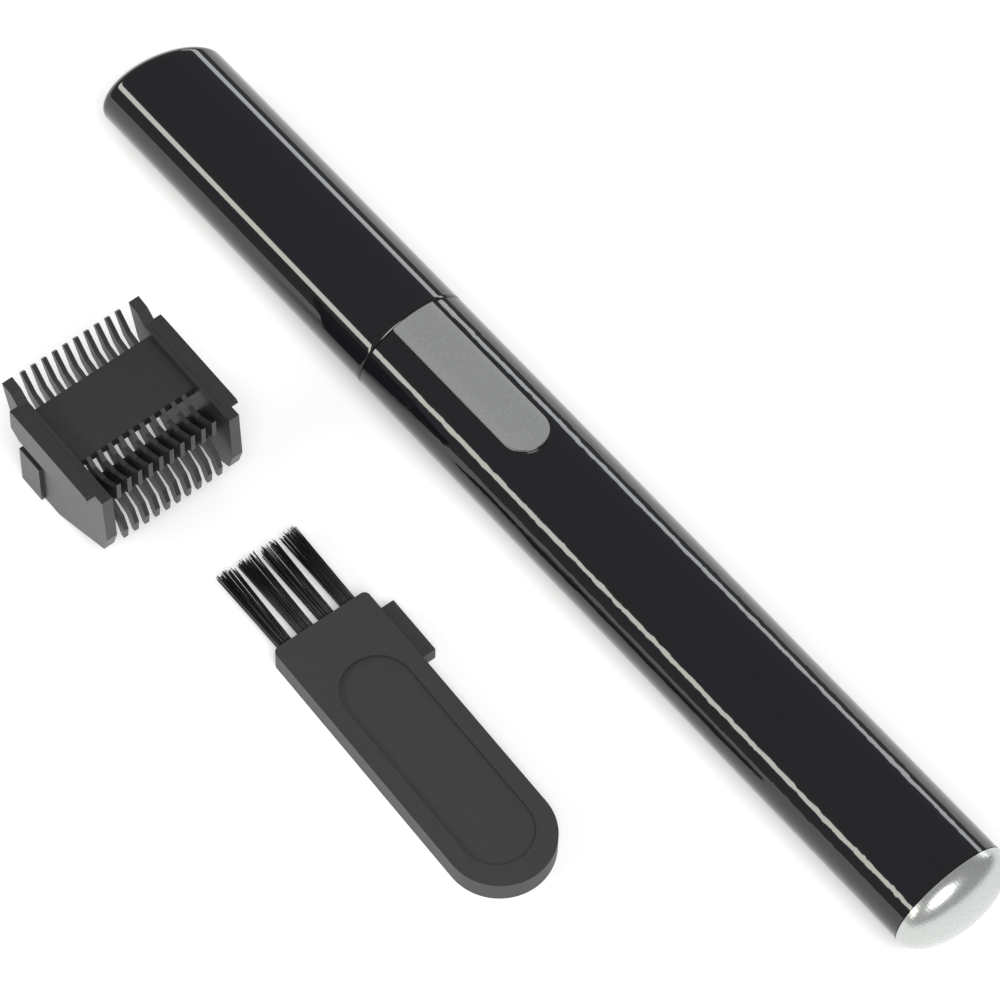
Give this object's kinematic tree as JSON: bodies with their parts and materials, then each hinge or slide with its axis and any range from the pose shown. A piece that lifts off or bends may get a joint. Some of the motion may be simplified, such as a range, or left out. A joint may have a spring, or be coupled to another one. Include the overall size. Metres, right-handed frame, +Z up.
{
  "type": "nose hair trimmer",
  "caption": "Pen-shaped oval battery nose hair trimmer with pull-off cap, thumb slide switch, silver end dome, a loose guide comb and a cleaning brush.",
  "frame": {"origin": "middle of the whole set's footprint, on the surface it lies on", "axes": "+X along the trimmer from its cap to its silver end, +Z up, the comb and the brush on the -Y side"},
  "size_m": [0.1544, 0.056, 0.0174],
  "materials": {
    "gloss_black": "glossy piano black",
    "matte_black": "matte",
    "seal_rubber": "matte",
    "steel": "fine ground",
    "white_plastic": "natural acetal",
    "copper": "copper",
    "magnet": "sintered",
    "contact_brass": "bright",
    "cell_jacket": "plain printed jacket, no text",
    "satin_silver": "satin silver",
    "comb_plastic": "semi-gloss charcoal",
    "brush_plastic": "matte charcoal",
    "bristle_nylon": "black nylon"
  },
  "bodies": {
    "barrel": {"housing": "gloss_black", "neck": "matte_black", "neck_o_ring": "seal_rubber", "head_tray": "matte_black", "head_cover": "matte_black", "head_screws": "steel", "fixed_blade": "steel", "blade_spring": "steel", "chassis": "matte_black", "motor_can": "steel", "motor_magnets": "magnet", "front_bushing": "contact_brass", "motor_end_bell": "white_plastic", "motor_brushes": "copper", "motor_terminals": "contact_brass", "cell_can": "cell_jacket", "cell_nub": "steel", "positive_contact": "contact_brass", "contact_strip": "contact_brass", "switch_contact": "contact_brass"},
    "cap": {"cap": "gloss_black"},
    "rotor": {"eccentric": "white_plastic", "motor_shaft": "steel", "armature": "copper", "commutator": "copper"},
    "cutter": {"moving_blade": "steel", "drive_arm": "white_plastic"},
    "switch": {"switch_plate": "satin_silver", "switch_carrier": "matte_black", "switch_wiper": "contact_brass"},
    "end_closure": {"end_cap": "satin_silver", "end_plug": "matte_black", "end_plug_o_ring": "seal_rubber", "end_contact": "contact_brass", "cell_spring": "steel"},
    "comb": {"guide_comb": "comb_plastic"},
    "brush": {"brush_handle": "brush_plastic", "brush_bristles": "bristle_nylon"}
  },
  "joints": [
    {"name": "cap_pull", "type": "slide", "parent": "barrel", "child": "cap", "axis": [-1, 0, 0], "range_m": [0, 0.04]},
    {"name": "end_cap_pull", "type": "slide", "parent": "barrel", "child": "end_closure", "axis": [1, 0, 0], "range_m": [0, 0.012]},
    {"name": "switch_slide", "type": "slide", "parent": "barrel", "child": "switch", "axis": [1, 0, 0], "range_m": [0, 0.003]},
    {"name": "rotor_spin", "type": "hinge", "parent": "barrel", "child": "rotor", "pos_m": [0, 0.0198, 0.00625], "axis": [1, 0, 0], "continuous": true},
    {"name": "blade_slide", "type": "slide", "parent": "barrel", "child": "cutter", "axis": [0, 1, 0], "range_m": [-0.0007, 0.0007]},
    {"name": "comb_lift", "type": "slide", "parent": "barrel", "child": "comb", "axis": [0, 0, 1], "range_m": [0, 0.03]},
    {"name": "brush_lift", "type": "slide", "parent": "barrel", "child": "brush", "axis": [0, 0, 1], "range_m": [0, 0.03]}
  ]
}
